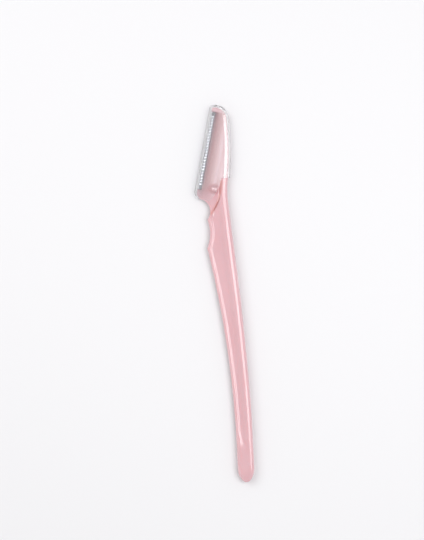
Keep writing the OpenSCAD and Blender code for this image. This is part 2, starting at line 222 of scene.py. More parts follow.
def spine_r(y):
    if y >= 0:
        return mix(NECK_D, TIP_D, smooth(y / top_y)) / 2
    swell = SPINE_SWELL_SHARE
    if y > -swell * GRIP_L:
        return mix(NECK_D, SPINE_D, smooth(-y / (swell * GRIP_L))) / 2
    return mix(SPINE_D, TAIL_D, smooth((-y / GRIP_L - swell) / (1 - swell))) / 2


print("spine", round(2 * spine_r(-GRIP_L / 2), 2), "mm thick half way down the handle")

# %% [markdown]
# The finger side waves in and out. From the tip down come the straight edge of the head, the round lobe at
# its foot, the notch for the first finger, the palm's swell and the long waist. Each wave is one arc between
# two corners, and a corner where two arcs meet gives the crisp ridge that the finger feels.

# %% Outline of the finger side
TOE_OUT, LOBE_BULGE = 0.12, 1.15
LOBE_W, LOBE_Y, RIDGE_W, RIDGE_Y, PALM_W, PALM_Y = 10.5, 7.95, 9.75, 15.6, 10.9, 27.0
NOTCH_DEPTH, PALM_DEPTH, WAIST_DEPTH = 1.8, 1.1, 2.4
TAIL_W, TAIL_ROUND = 7.7, 5.5
lobe_start, lobe_end = to_razor(-TOE_OUT, -TOE_OUT), (-LOBE_W, -LOBE_Y)
ridge, palm = (-RIDGE_W, -RIDGE_Y), (-PALM_W, -PALM_Y)
tail_start = (-TAIL_W, TAIL_ROUND - GRIP_L)
tail_reach = tail_start[1] - (handle_low.y - NECK.y)
WAVES = [(palm, tail_start, WAIST_DEPTH), (ridge, palm, PALM_DEPTH), (lobe_end, ridge, NOTCH_DEPTH),
         (lobe_start, lobe_end, -LOBE_BULGE)]


def line_x(u, y):
    """Place across, at height y, of the line at distance u from the cutting edge."""
    return FOOT[0] + u / COS + (y - FOOT[1]) * TAN


def finger_x(y):
    if y <= tail_start[1]:
        return tail_start[0]
    for upper, lower, bulge in WAVES:
        if y <= upper[1]:
            return arc_x(upper, lower, bulge, y)
    if y <= tip_y:
        return line_x(-TOE_OUT, y)
    return max(line_x(-TOE_OUT, y), tip_x - tip_half(y))


print("width at the ridge:", round(spine_x(-RIDGE_Y) + RIDGE_W, 2), "mm")

# %% [markdown]
# The head is a flat plate that is thicker towards the spine. It ends in a step down to the web, along a curve
# from the neck to the horn between notch and ridge. Below it a shallow rest for the thumb ends at a crease.

# %% Head plate, step and crease
HEAD_BACK_T, HEAD_FRONT_T = 2.4, 1.44
HORN_SHARE, LINE_BULGE_SHARE = 0.88, 0.1
THUMB_SPINE_Y, THUMB_RIM_Y = 10.6, 21.2
CREASE_TOP_SHARE, CREASE_LOW_SHARE = 1.2, 0.82


def plate_z(x, y):
    """Half the thickness of the head."""
    u, _ = to_head(x, y)
    return mix(HEAD_FRONT_T, HEAD_BACK_T, (u + TOE_OUT) / (FOOT_IN + TOE_OUT)) / 2


def bulging(a, b):
    return a, b, math.dist(a, b) * LINE_BULGE_SHARE


horn_y = mix(-LOBE_Y, -RIDGE_Y, HORN_SHARE)
step_line = bulging((-NECK_D, 0), (arc_x(lobe_end, ridge, NOTCH_DEPTH, horn_y), horn_y))
crease_line = bulging((-NECK_D * CREASE_TOP_SHARE, -THUMB_SPINE_Y),
                      (-RIDGE_W * CREASE_LOW_SHARE, -THUMB_RIM_Y))
print("the step runs from the neck down to the horn at y =", round(horn_y, 2), "mm")

# %% [markdown]
# The handle is one moulding, and its surface is drawn ring by ring from the tail to the tip. A ring starts
# at the round rim under the fingers, crosses the web or the head's plate, and ends in the thick rib of the
# spine. Separate bodies would show where they meet, and rings drawn by formula keep all in one skin.

# %% Ends and edges of a ring
RIM_D, TAIL_SOLID = 1.9, 13.0
TAIL_MELT = TAIL_SOLID - TAIL_ROUND
FIT_SHARE, RISE_SHARE = 0.92, 2.1
CREST_OUT, CREST_OUT_Y = 0.5, 20


def ring_frame(y):
    """Where the ring at height y begins and ends, and how round its rim and its rib are."""
    ring = SimpleNamespace(y=y, in_head=y > horn_y, end=1.0, web_hold=smooth(-y / NECK_D))
    if y < tail_start[1]:
        ring.end = math.sqrt(max(0.0, 1 - ((tail_start[1] - y) / tail_reach) ** 2))
    middle = (finger_x(y) + spine_x(y)) / 2
    ring.left, ring.right = mix(middle, finger_x(y), ring.end), mix(middle, spine_x(y), ring.end)
    ring.solid = smooth((-y - GRIP_L + TAIL_SOLID + TAIL_MELT) / TAIL_MELT)
    rib_r = spine_r(y)
    ring.crest = min(HALF_T, rib_r)
    rim_r = mix(RIM_D / 2, plate_z(ring.left, y), smooth((y - horn_y) / NOTCH_DEPTH))
    ring.rim_r = mix(rim_r, ring.crest, ring.solid)
    fit = min(1.0, FIT_SHARE * (ring.right - ring.left) / (2 * (ring.rim_r + rib_r)))
    ring.rim_w = fit * ring.rim_r
    ring.crest_w = fit * rib_r * (1 + CREST_OUT * smooth((y + CREST_OUT_Y) / CREST_OUT_Y))
    ring.rim_x, ring.crest_x = ring.left + ring.rim_w, ring.right - ring.crest_w
    ring.rise_x = ring.right - RISE_SHARE * ring.crest_w
    return ring


print("rib", round(2 * ring_frame(-GRIP_L / 2).crest_w, 2), "mm wide half way down the handle")

# %% [markdown]
# Where the plastic closes round the metal, the mould leaves a faint lip, a few hundredths of a millimetre
# high. It is added to the height of the plate, because a separate piece so thin would only show a seam.

# %% Lip along the metal
BLADE_REVEAL = 1.5
LIP_H, LIP_W, LIP_IN, LIP_REACH = 0.04, 0.26, 0.36, 2.5


def lip_z(x, y):
    """The slightly raised lip of plastic along the metal."""
    u, v = to_head(x, y)
    along = smooth((v + LIP_W) / LIP_W) * smooth((BLADE_L + LIP_W - v) / LIP_W)
    return LIP_H * np.exp(-((u - BLADE_REVEAL - LIP_IN) / LIP_W) ** 2) * along


print("lip", round(float(lip_z(*to_razor(BLADE_REVEAL + LIP_IN, BLADE_L / 2))), 3), "mm high by the metal")

# %% [markdown]
# Each ring crosses the same forms in the same order: lip, plate, step, groove, web and crease. Their places
# come from the lines of the outline and are held apart by a small gap, because a ring whose points changed
# places would fold the skin over.

# %% Places across a ring
STEP_W, GROOVE_W, GROOVE_REACH, GROOVE_SHARE = 0.3, 0.30, 3, 0.4
# Shares of the room between rim and rib that keep the places in order, and where the step goes below the horn
PLACE_GAP, STEP_FROM, STEP_TO = 0.02, 0.05, 0.14
SUNK_STEP, SUNK_FOOT = 0.4, 0.7


def ring_places(ring):
    """Where the lip, the step, the groove, the web and the thumb's crease lie across a ring."""
    y, room = ring.y, ring.crest_x - ring.rim_x
    gap = room * PLACE_GAP
    step, foot = (ring.rim_x + ring.rim_w * share for share in (SUNK_STEP, SUNK_FOOT))
    if ring.in_head:
        step_x = arc_x(*step_line, held(y, horn_y, 0))
        step = held(step_x - STEP_W / 2, ring.rim_x + room * STEP_FROM, ring.crest_x - room * STEP_TO)
        foot = held(step_x + STEP_W / 2, step + gap, ring.crest_x - room * STEP_TO + gap)
    web = max(ring.rim_x + ring.rim_w, foot + gap)
    crease = arc_x(*crease_line, held(y, -THUMB_RIM_Y, -THUMB_SPINE_Y))
    crease = max(web + 1.5 * gap, min(crease, ring.rise_x - gap))
    groove = foot + min(GROOVE_REACH * GROOVE_W, GROOVE_SHARE * (crease - foot))
    lip = held(line_x(BLADE_REVEAL - LIP_W, y), ring.rim_x + gap, step - gap)
    lip_end = held(line_x(BLADE_REVEAL + LIP_IN + LIP_REACH * LIP_W, y), lip + gap / 4, step - gap / 2)
    return SimpleNamespace(lip=lip, lip_end=lip_end, step=step, foot=foot, web=web, groove=groove,
                           crease=crease)


print("below the lobe the step is at x =", round(ring_places(ring_frame(-LOBE_Y)).step, 2), "mm")

# %% [markdown]
# Each ring gets its heights in three layers. The web has the thumb's rest and a slight tilt, which lets the
# moulding leave the mould. The rim and the rib rise out of it in soft fillets. In the head the plate lies on
# top, and at the foot of its step a fine groove is pressed in, which draws the warm line below the cap.

# %% Heights over a ring
WEB_T, WEB_TILT = 1.4, math.tan(math.radians(2.2))
THUMB_DEPTH, GROOVE_H = 0.12, 0.16


def web_z(ring, at, x):
    thumb = THUMB_DEPTH * smooth((ring.y + THUMB_RIM_Y) / (THUMB_RIM_Y + horn_y)) * ring.web_hold
    dip = thumb * np.clip((at.crease - x) / (at.crease - at.foot), 0, 1)
    tilt = WEB_TILT * (x - at.web) * (1 - ring.solid)
    return mix(plate_z(x, ring.y), mix(WEB_T / 2, ring.crest, ring.solid) - dip + tilt, ring.web_hold)


def low_z(ring, at, x):
    """Height from the rim over the web to the rib."""
    floor_z = web_z(ring, at, x)
    from_rim = mix(ring.rim_r, floor_z, smooth((x - ring.rim_x) / ring.rim_w))
    to_rib = mix(floor_z, ring.crest, smooth((x - ring.rise_x) / (ring.crest_x - ring.rise_x)))
    return np.maximum(from_rim, to_rib)


def top_z(ring, at, x):
    """Height with the head's plate, its step and the groove at the foot of the step."""
    low = low_z(ring, at, x)
    if not ring.in_head:
        return low
    high = np.maximum(low, plate_z(x, ring.y) + lip_z(x, ring.y))
    down = smooth((x - at.step) / (at.foot - at.step))
    groove = GROOVE_H * ring.web_hold * smooth(ring.y - horn_y) * np.exp(-((x - at.foot) / GROOVE_W) ** 2)
    return mix(high, low, down) - groove * down


web_middle = top_z(ring_frame(-PALM_Y), ring_places(ring_frame(-PALM_Y)), -PALM_W / 2)
print("web", round(2 * float(web_middle), 2), "mm thick at the palm")

# %% [markdown]
# The rib's crest is a little squarer than a circle. A circle would reflect the light as a hair line, and the
# flatter crest holds the wide white line of the real one. The fine parts of a ring get the most points.

# %% Ring of the handle
RING_PARTS = dict(rim=14, flank=10, lip=12, plate=12, step=8, groove=12, web=12, rise=22, rib=24)
CREST_FLAT = 2.35
ROUND_OVER = 1.1


def thinning(ring):
    """The moulding thins into its round tail and into the tip of the head."""
    if ring.y < tail_start[1]:
        return math.sqrt(ring.end)
    return math.sqrt(1 - (max(0.0, ring.y - tip_y - TIP_R + TIP_D) / (TIP_D * ROUND_OVER)) ** 2)


def handle_ring(y):
    """Half a ring, from the finger side over the top to the spine: places across and heights."""
    ring = ring_frame(y)
    at = ring_places(ring)
    turn = np.linspace(math.pi, math.pi / 2, RING_PARTS["rim"], endpoint=False)
    xs, zs = [ring.left + ring.rim_w * (1 + np.cos(turn))], [ring.rim_r * np.sin(turn)]
    places = dict(flank=ring.rim_x, lip=at.lip, plate=at.lip_end, step=at.step, groove=at.foot, web=at.groove,
                  rise=at.crease)
    ends = [*places.values(), ring.crest_x]
    for i, part in enumerate(places):
        xs.append(np.linspace(ends[i], ends[i + 1], RING_PARTS[part], endpoint=False))
        zs.append(top_z(ring, at, xs[-1]))
    turn = np.linspace(0, math.pi / 2, RING_PARTS["rib"])
    xs.append(ring.right - ring.crest_w * (1 - np.sin(turn) ** (2 / CREST_FLAT)))
    zs.append(ring.crest * np.cos(turn) ** (2 / CREST_FLAT))
    return np.concatenate(xs), np.concatenate(zs) * thinning(ring)


print("half a ring has", len(handle_ring(0)[0]), "points")

# %% [markdown]
# Every round piece is a skin through rings of points. It could be lofted from curves, but a mesh made
# straight from the points loses nothing on the way.

# %% Mesh through rings
def loft(name, rings):
    """A closed mesh through rings of the same number of points."""
    count = len(rings[0])
    verts = np.concatenate(rings)
    faces = []
    for j in range(len(rings) - 1):
        a, b = j * count, (j + 1) * count
        faces += [(a + i, b + i, b + (i + 1) % count, a + (i + 1) % count) for i in range(count)]
    faces.append(tuple(range(count)))
    faces.append(tuple(range(len(verts) - 1, len(verts) - 1 - count, -1)))
    mesh = bpy.data.meshes.new(name)
    mesh.from_pydata([tuple(p) for p in verts], [], faces)
    bm = bmesh.new()
    bm.from_mesh(mesh)
    bmesh.ops.recalc_face_normals(bm, faces=bm.faces)
    bm.to_mesh(mesh)
    bm.free()
    return new_object(name, mesh)


def new_object(name, mesh):
    obj = bpy.data.objects.new(name, mesh)
    bpy.context.scene.collection.objects.link(obj)
    return obj


def closed_ring(xs, ys, zs):
    """A half ring and its mirror image under the middle plane."""
    upper = np.column_stack([xs, ys, zs])
    lower = upper[-2:0:-1] * (1, 1, -1)
    return placed(np.concatenate([upper, lower]))


def prism(name, outline, half):
    """A block with an outline in the plane of the razor, through the middle plane."""
    return loft(name, [placed([(x, y, z) for x, y in outline]) for z in (-half, half)])


print("half a ring of 3 points makes a ring of", len(closed_ring([-1, 0, 1], [0, 0, 0], [0, 1, 0])), "points")


# %% [markdown]
# Two jobs come back for several pieces. One cuts shapes out of a piece, as a mill would. The other sets the
# shading: smooth over the round surfaces, and crisp where two faces meet at more than an angle.

# %% Cutting and shading
def apply_modifiers(obj):
    """Turns the modifiers of an object into its mesh."""
    bpy.context.view_layer.update()
    mesh = bpy.data.meshes.new_from_object(obj.evaluated_get(bpy.context.evaluated_depsgraph_get()))
    mesh.name = obj.data.name
    obj.modifiers.clear()
    obj.data = mesh


def cut_away(obj, *cutters):
    """Cuts the cutters out of an object and removes them."""
    for cutter in cutters:
        cut = obj.modifiers.new("cut", "BOOLEAN")
        cut.operation, cut.object, cut.solver = "DIFFERENCE", cutter, "EXACT"
    apply_modifiers(obj)
    print(obj.name, "cut by", [cutter.name for cutter in cutters])
    for cutter in cutters:
        bpy.data.objects.remove(cutter)


def soften(obj, degrees=32):
    """Smooth shading that leaves the edges sharper than an angle crisp."""
    bm = bmesh.new()
    bm.from_mesh(obj.data)
    bmesh.ops.remove_doubles(bm, verts=bm.verts, dist=1e-7)
    for face in bm.faces:
        face.smooth = True
    for edge in bm.edges:
        edge.smooth = len(edge.link_faces) == 2 and edge.calc_face_angle(0) < math.radians(degrees)
    bm.to_mesh(obj.data)
    bm.free()


# %% [markdown]
# The rings stand far apart on the plain lower handle and close together where the finger waves are. At both
# ends they follow a quarter turn, so that the last ones crowd together and the ends come out round. At last a
# window is cut for the metal, because the moulding stops where the blade and the guard come out of it.

# %% Handle
TAIL_RINGS, TAIL_FIRST, TIP_RINGS, TIP_END_TURN = 16, 0.6, 24, math.radians(86)
LONG_STEP, SHORT_STEP = 1.0, 0.26
# How far a cutter reaches past the piece that it cuts
OVER = 2.0


def places_between(low, high, step):
    return list(np.arange(low, high, step))


def round_places(middle, radius, low_turn, high_turn, count):
    """Places at even turns of an arc."""
    return [middle + radius * math.sin(mix(low_turn, high_turn, i / count)) for i in range(count + 1)]


tail_turns = [math.pi / 2 * (i + TAIL_FIRST) / TAIL_RINGS for i in range(TAIL_RINGS)]
heights = [tail_start[1] - tail_reach * math.cos(turn) for turn in tail_turns]
heights += places_between(tail_start[1], palm[1] - LONG_STEP, LONG_STEP)
heights += places_between(palm[1], top_y - SHORT_STEP, SHORT_STEP)
heights += round_places(tip_y, TIP_R, math.asin((top_y - tip_y) / TIP_R), TIP_END_TURN, TIP_RINGS)
rings = []
for y in heights:
    xs, zs = handle_ring(y)
    rings.append(closed_ring(xs, np.full_like(xs, y), zs))
handle = loft("handle_moulding", rings)
window = [(-OVER, 0), (BLADE_REVEAL, 0), (BLADE_REVEAL, BLADE_L), (-OVER, BLADE_L)]
cut_away(handle, prism("window", [to_razor(u, v) for u, v in window], OVER))
soften(handle)
print("handle:", len(rings), "rings,", len(handle.data.polygons), "faces")

# %% [markdown]
# Near the base of the head each side carries a small round stud. The cap's wall springs over it, which holds
# the cap on. It is a low dome with a soft foot, so it is turned here from a short profile, as on a lathe.

# %% Studs on the head
NUB_D, NUB_H, NUB_WALL, NUB_SIDES = 2.4, 0.32, 0.12, 40
# The foot of the stud: distance beyond its radius, and height over the plate
NUB_FOOT = [(0.18, -0.25), (0.13, 0.0), (0.02, 0.05)]
NUB_ACROSS_SHARE, NUB_ALONG_SHARE = 0.59, 0.04
DOME_FROM, DOME_TO, DOME_RINGS = 0.15, 1.45, 7
stud_u, stud_v = mix(EDGE_GAP, neck_u, NUB_ACROSS_SHARE), BLADE_L * NUB_ALONG_SHARE


def stud(name, side):
    x, y = to_razor(stud_u, stud_v)
    profile = [(NUB_D / 2 + out, height) for out, height in NUB_FOOT]
    profile += [(NUB_D / 2 * math.cos(a), NUB_WALL + (NUB_H - NUB_WALL) * math.sin(a))
                for a in np.linspace(DOME_FROM, DOME_TO, DOME_RINGS)]
    turns = np.linspace(0, 2 * math.pi, NUB_SIDES, endpoint=False)
    rings = [placed([(x + radius * math.cos(a), y + radius * math.sin(a), side * (plate_z(x, y) + height))
                     for a in turns]) for radius, height in profile]
    piece = loft(name, rings)
    soften(piece, degrees=60)
    return piece


studs = [stud("stud_upper", 1), stud("stud_lower", -1)]
print("studs", round(stud_u, 2), "mm from the edge,", round(stud_v, 2), "mm up from its foot")

# %% [markdown]
# The guard is a strip of foil, punched with a row of slanted slots and folded over the cutting edge. Each
# slot starts at the fold and has a round end on both legs.

# %% Slots of the guard
GUARD_T, GUARD_W = 0.12, 3.0
SLOT_PITCH, SLOT_W, SLOT_L, SLOT_SLANT = 1.18, 0.5, 1.15, math.radians(14)
fold_r = BLADE_T / 2 + GUARD_T
slot_r = SLOT_W / 2
slot_count = int((BLADE_L - SLOT_PITCH) / SLOT_PITCH)
slot_places = [BLADE_L / 2 + (i - (slot_count - 1) / 2) * SLOT_PITCH for i in range(slot_count)]


def slot_half(u):
    """Half the width of a slot at distance u from the fold."""
    straight = SLOT_L - slot_r
    if u <= straight:
        return slot_r
    return math.sqrt(max(0.0, slot_r ** 2 - (u - straight) ** 2))


print("guard:", slot_count, "slots, one every", SLOT_PITCH, "mm, fold radius", round(fold_r, 2), "mm")

# %% [markdown]
# The strip could be bent by a modifier, but it is simpler to list the places along it after bending: down the
# upper leg, round the fold and back along the lower leg. The places are closer at the slots' round ends.

# %% Strip of the guard, folded
END_ROWS, LEG_ROWS, FOLD_ROWS = 6, 8, 15
slot_end = [SLOT_L - slot_r * (1 - math.cos(a)) for a in np.linspace(math.pi / 2, 0, END_ROWS)]
leg = [*np.linspace(fold_r, slot_end[0], LEG_ROWS, endpoint=False), *slot_end,
       *np.linspace(SLOT_L, GUARD_W, LEG_ROWS)[1:]]
# Distance from the fold, height, and the way outwards
strip = [(u, fold_r, 0, 1) for u in reversed(leg)]
strip += [(fold_r - fold_r * math.sin(a), fold_r * math.cos(a), -math.sin(a), math.cos(a))
          for a in np.linspace(0, math.pi, FOLD_ROWS)[1:-1]]
strip += [(u, -fold_r, 0, -1) for u in leg]
print("the strip has", len(strip), "places from one end to the other")

# %% [markdown]
# Punching leaves the bars between the slots slightly crowned, and each crown holds a bright point of light.
# So each bar is a small grid of its own, as wide as the slots leave it and raised in its middle. Beyond the
# slots the grids meet again and make one sheet.

# %% Bars of the guard
BAR_CROWN, CROWN_FROM, CROWN_TO, BAR_COLUMNS = 0.12, -0.1, 1.3, 10


def crown(across, u):
    """Rise of a bar, from -1 to 1 across it and at distance u from the fold."""
    return BAR_CROWN * (1 - abs(across) ** 3) * smooth((CROWN_TO - u) / (CROWN_TO - CROWN_FROM))


def bar_rows(k):
    """Rows of points over one bar. The first and the last bar are the plain ends of the strip."""
    plain = k in (0, slot_count)
    for u, z, out_u, out_z in strip:
        half, lean = slot_half(u), u * math.tan(SLOT_SLANT)
        low_v = slot_places[k - 1] + half + lean if k > 0 else 0.0
        high_v = slot_places[k] - half + lean if k < slot_count else BLADE_L
        row = []
        for t in np.linspace(0, 1, BAR_COLUMNS + 1):
            rise = 0 if plain else crown(2 * t - 1, u)
            row.append((*to_razor(u + out_u * rise, mix(low_v, high_v, t)), z + out_z * rise))
        yield placed(row)


def guard_mesh():
    bm = bmesh.new()
    for k in range(slot_count + 1):
        grid = [[bm.verts.new(point) for point in row] for row in bar_rows(k)]
        for upper, lower in zip(grid, grid[1:]):
            for i in range(BAR_COLUMNS):
                bm.faces.new((upper[i], upper[i + 1], lower[i + 1], lower[i]))
    bmesh.ops.remove_doubles(bm, verts=bm.verts, dist=1e-6)
    bmesh.ops.recalc_face_normals(bm, faces=bm.faces)
    mesh = bpy.data.meshes.new("guard_foil")
    bm.to_mesh(mesh)
    bm.free()
    return mesh


print("bars rise", round(float(crown(0, 0)), 3), "mm at the fold")

# %% [markdown]
# The grid becomes foil with a modifier that gives it a thickness inwards, and a fine bevel rounds the punched
# edges. Without the bevel the edges would be dead lines, because only a rounded edge catches the light.

# %% Guard
FOIL_EDGE, FOIL_ANGLE = 0.03, math.radians(50)
guard = new_object("guard_foil", guard_mesh())
foil = guard.modifiers.new("foil", "SOLIDIFY")
foil.thickness, foil.offset, foil.use_even_offset = GUARD_T * MM, -1, True
rim = guard.modifiers.new("rim", "BEVEL")
rim.width, rim.segments, rim.limit_method, rim.angle_limit = FOIL_EDGE * MM, 2, "ANGLE", FOIL_ANGLE
apply_modifiers(guard)
soften(guard, degrees=40)
print("guard:", len(guard.data.polygons), "faces, box", [round(value / MM, 2) for value in guard.dimensions])

# %% [markdown]
# The cap is a thin shell of clear plastic, open at the mouth. It follows the head at a small distance all
# round, so the head's own outline is grown outwards twice: once for the outside, once for the hollow.

# %% Outline of the cap
CAP_WALL, CAP_GAP, CAP_CORNER_R = 0.7, 0.25, 3.0
LOBE_SAMPLES = 60
cap_d = CAP_GAP + CAP_WALL
lobe_v = to_head(*lobe_end)[1]
lobe_u = min(to_head(arc_x(lobe_start, lobe_end, -LOBE_BULGE, y), y)[0]
             for y in np.linspace(lobe_end[1], lobe_start[1], LOBE_SAMPLES))
cap_left = min(lobe_u, 0.0) - cap_d
corner_u, corner_v = cap_left + CAP_CORNER_R, lobe_v + CAP_CORNER_R


def cap_tip_half(v, d):
    return math.sqrt(max(0.0, (TIP_R + d) ** 2 - (v - tip_v) ** 2))


def side_right(v, d):
    """The spine side of the head's outline, grown by d."""
    if v < tip_v + (TIP_R + d) * math.sin(tip_turn):
        return back_u(v) + d / math.cos(back_turn(v))
    return tip_u + cap_tip_half(v, d)


def side_left(v, d, wall_u):
    """The straight wall on the edge side, and the round tip above it."""
    if v < tip_v:
        return wall_u
    return max(wall_u, tip_u - cap_tip_half(v, d))


print("cap", round(side_right(0, cap_d) - cap_left, 2), "mm wide at the foot of the edge")

# %% [markdown]
# Over the rib the cap rises to a crest that is squarer than a circle, since it carries the widest white line
# on the razor. Round the stud a ring is pressed out of the wall, in which the stud sits when the cap is on.
# It is a fine form, so the rings of the loft stand five times closer there.

# %% Rings of the cap
CAP_CREST_W, CAP_CREST_FLAT, CAP_CREST_SHARE = 1.38, 2.5, 0.6
DIMPLE_R, DIMPLE_W, DIMPLE_H = 1.05, 0.34, 0.20
CAP_PARTS = dict(corner=9, plate=64, crest=24)


def dimple(u, v):
    """The ring in the cap's wall that springs over the stud."""
    off = np.hypot(u - stud_u, v - stud_v) - DIMPLE_R
    return DIMPLE_H * np.exp(-(off / DIMPLE_W) ** 2)


def cap_ring(v, form):
    """A ring of the cap at height v, for the outside or the hollow."""
    left, right = side_left(v, form.d, form.wall_u), side_right(v, form.d)
    y = to_razor(back_u(min(v, tip_start)), v)[1]
    crest_r = min(spine_r(max(y, 0.0)) + form.d, (right - left) / 2)
    corner = min(form.fillet, (right - left) / 4)
    crest_z = min(HALF_T, crest_r)
    crest_w = min(CAP_CREST_W * crest_r, (right - left - corner) * CAP_CREST_SHARE)
    start, stop = left + corner, right - crest_w
    across = np.linspace(start, stop, CAP_PARTS["plate"])[1:-1]
    slope = mix(form.half, crest_z, (across - start) / (stop - start))
    turn = np.linspace(math.pi, math.pi / 2, CAP_PARTS["corner"])
    over = np.linspace(0, math.pi / 2, CAP_PARTS["crest"])
    us = [start + corner * np.cos(turn), across, stop + crest_w * np.sin(over) ** (2 / CAP_CREST_FLAT)]
    zs = [form.half - corner + corner * np.sin(turn), np.minimum(slope + dimple(across, v), crest_z),
          crest_z * np.cos(over) ** (2 / CAP_CREST_FLAT)]
    xs, ys = to_razor(np.concatenate(us), v)
    top = tip_v + TIP_R + form.d - form.crown
    flat = math.sqrt(max(0.0, 1 - (max(0.0, v - top) / (form.crown * ROUND_OVER)) ** 2))
    return closed_ring(xs, ys, np.concatenate(zs) * flat)


print("ring round the stud: radius", DIMPLE_R, "mm, height", DIMPLE_H, "mm")

# %% [markdown]
# A modifier could give the outside a thickness, but the hollow has a corner of its own and its own distance
# to the head. So it is drawn as a core, as in the mould, by the same function with other sizes.

# %% Outside and hollow of the cap
CAP_FILLET, CAP_CROWN = 0.35, 1.1
CAP_LONG_STEP, CAP_FINE_STEP, CAP_END_RINGS, CAP_END_TURN = 0.5, 0.1, 26, math.radians(84)


def cap_form(name, **sizes):
    form = SimpleNamespace(**sizes)
    near, far = stud_v - 2 * DIMPLE_R, stud_v + 2 * DIMPLE_R
    heights = places_between(form.low_v, near, CAP_LONG_STEP) + places_between(near, far, CAP_FINE_STEP)
    heights += places_between(far, tip_start, CAP_LONG_STEP)
    end_r = TIP_R + form.d
    heights += round_places(tip_v, end_r, math.asin((tip_start - tip_v) / end_r), CAP_END_TURN, CAP_END_RINGS)
    return loft(name, [cap_ring(v, form) for v in heights])


inner_half = HEAD_FRONT_T / 2 + CAP_GAP
low_v = lobe_v - CAP_CORNER_R
cap = cap_form("cap_shell", d=cap_d, wall_u=cap_left, half=inner_half + CAP_WALL, fillet=CAP_WALL,
               crown=CAP_CROWN, low_v=low_v)
hollow = cap_form("cap_hollow", d=CAP_GAP, wall_u=cap_left + CAP_WALL, half=inner_half, fillet=CAP_FILLET,
                  crown=CAP_GAP, low_v=low_v - OVER)
print("cap", round(2 * (inner_half + CAP_WALL), 2), "mm thick at the edge side")

# %% [markdown]
# The mouth is cut along its curve, from the round corner below the lobe to the neck, with a block that takes
# away all that lies below it. The hollow goes in the same cut. Then the sharp rim is rounded, because it is
# the rim that catches the light on a clear cap.

# %% Mouth of the cap
MOUTH_BULGE, MOUTH_LOW_SHARE, MOUTH_EDGE, MOUTH_ANGLE = 0.9, 0.64, 0.16, math.radians(50)
CORNER_SIDES, MOUTH_SIDES, NECK_OUT = 25, 33, 4 * NECK_D


def arc_points(cx, cy, radius, turns):
    return [(cx + radius * math.cos(a), cy + radius * math.sin(a)) for a in turns]


def round_mouth(obj):
    bm = bmesh.new()
    bm.from_mesh(obj.data)
    bmesh.ops.remove_doubles(bm, verts=bm.verts, dist=2e-6)
    bmesh.ops.dissolve_degenerate(bm, dist=1e-6, edges=bm.edges)
    sharp = [e for e in bm.edges if len(e.link_faces) == 2 and e.calc_face_angle(0) > MOUTH_ANGLE]
    bmesh.ops.bevel(bm, geom=sharp, offset=MOUTH_EDGE * MM, offset_type="OFFSET", segments=3, profile=0.5,
                    affect="EDGES", clamp_overlap=True)
    bm.to_mesh(obj.data)
    bm.free()
    print(obj.name, "rounded", len(sharp), "edges")


mouth_neck = to_head(-NECK_D, 0)
mouth_low = (mouth_neck[0] * MOUTH_LOW_SHARE, lobe_v)
cx, cy, radius = arc_circle(mouth_low, mouth_neck, -MOUTH_BULGE)
from_turn, to_turn = (math.atan2(v - cy, u - cx) for u, v in (mouth_low, mouth_neck))
mouth = [(cap_left - OVER, corner_v)]
mouth += arc_points(corner_u, corner_v, CAP_CORNER_R, np.linspace(math.pi, 1.5 * math.pi, CORNER_SIDES)[1:])
mouth += arc_points(cx, cy, radius, np.linspace(from_turn, to_turn, MOUTH_SIDES))
mouth += [(mouth_neck[0] + NECK_OUT * COS, mouth_neck[1] + NECK_OUT * SIN),
          (FOOT_IN + NECK_OUT, low_v - 2 * OVER), (cap_left - OVER, low_v - 2 * OVER)]
cut_away(cap, hollow, prism("mouth", [to_razor(u, v) for u, v in mouth], 2 * HALF_T))
round_mouth(cap)
soften(cap, degrees=40)

# %% [markdown]
# A finish is a material mixed from nodes. It could be put together by hand, but then nobody could read how.
# Here each node is one call, which takes values or outputs of other nodes and gives an output for the next.

# %% Sheet of nodes
class NodeSheet:
    """The sheet on which the nodes of a material, or of the room, are laid out."""

    def __init__(self, owner):
        owner.use_nodes = True
        self.owner, self.nodes, self.links = owner, owner.node_tree.nodes, owner.node_tree.links
        self.shader = self.nodes.get("Principled BSDF")

    def give(self, node, inputs):
        """Sets the inputs of a node to values, or links them to outputs."""
        for name, value in inputs.items():
            if isinstance(value, bpy.types.NodeSocket):
                self.links.new(value, node.inputs[name])
            else:
                node.inputs[name].default_value = value

    def node(self, kind, result, inputs, **settings):
        """Adds a node and gives one of its outputs."""
        node = self.nodes.new("ShaderNode" + kind)
        for name, value in settings.items():
            setattr(node, name, value)
        self.give(node, inputs)
        return node.outputs[result]

    def maths(self, operation, *values):
        return self.node("Math", "Value", dict(enumerate(values)), operation=operation)

    def vector(self, operation, result, first, second):
        return self.node("VectorMath", result, {0: first, 1: second}, operation=operation)

    def surface(self):
        return self.node("TexCoord", "Object", {})

    def place(self, stretch=(1, 1, 1), turn=None):
        """Places in millimetres, turned about the upright axis and stretched along the others."""
        spot = self.surface()
        if turn is not None:
            inputs = {"Vector": spot, "Angle": turn}
            spot = self.node("VectorRotate", "Vector", inputs, rotation_type="Z_AXIS")
        return self.node("Mapping", "Vector", {"Vector": spot, "Scale": [1 / MM * k for k in stretch]})


print("sheet:", [name for name in vars(NodeSheet) if not name.startswith("_")])

# %% [markdown]
# The same few mixes come back in each finish: a noise, a range, a blend of two colours and a bump. A noise
# is worked out at each point and is no picture, so it stays sharp from close up.

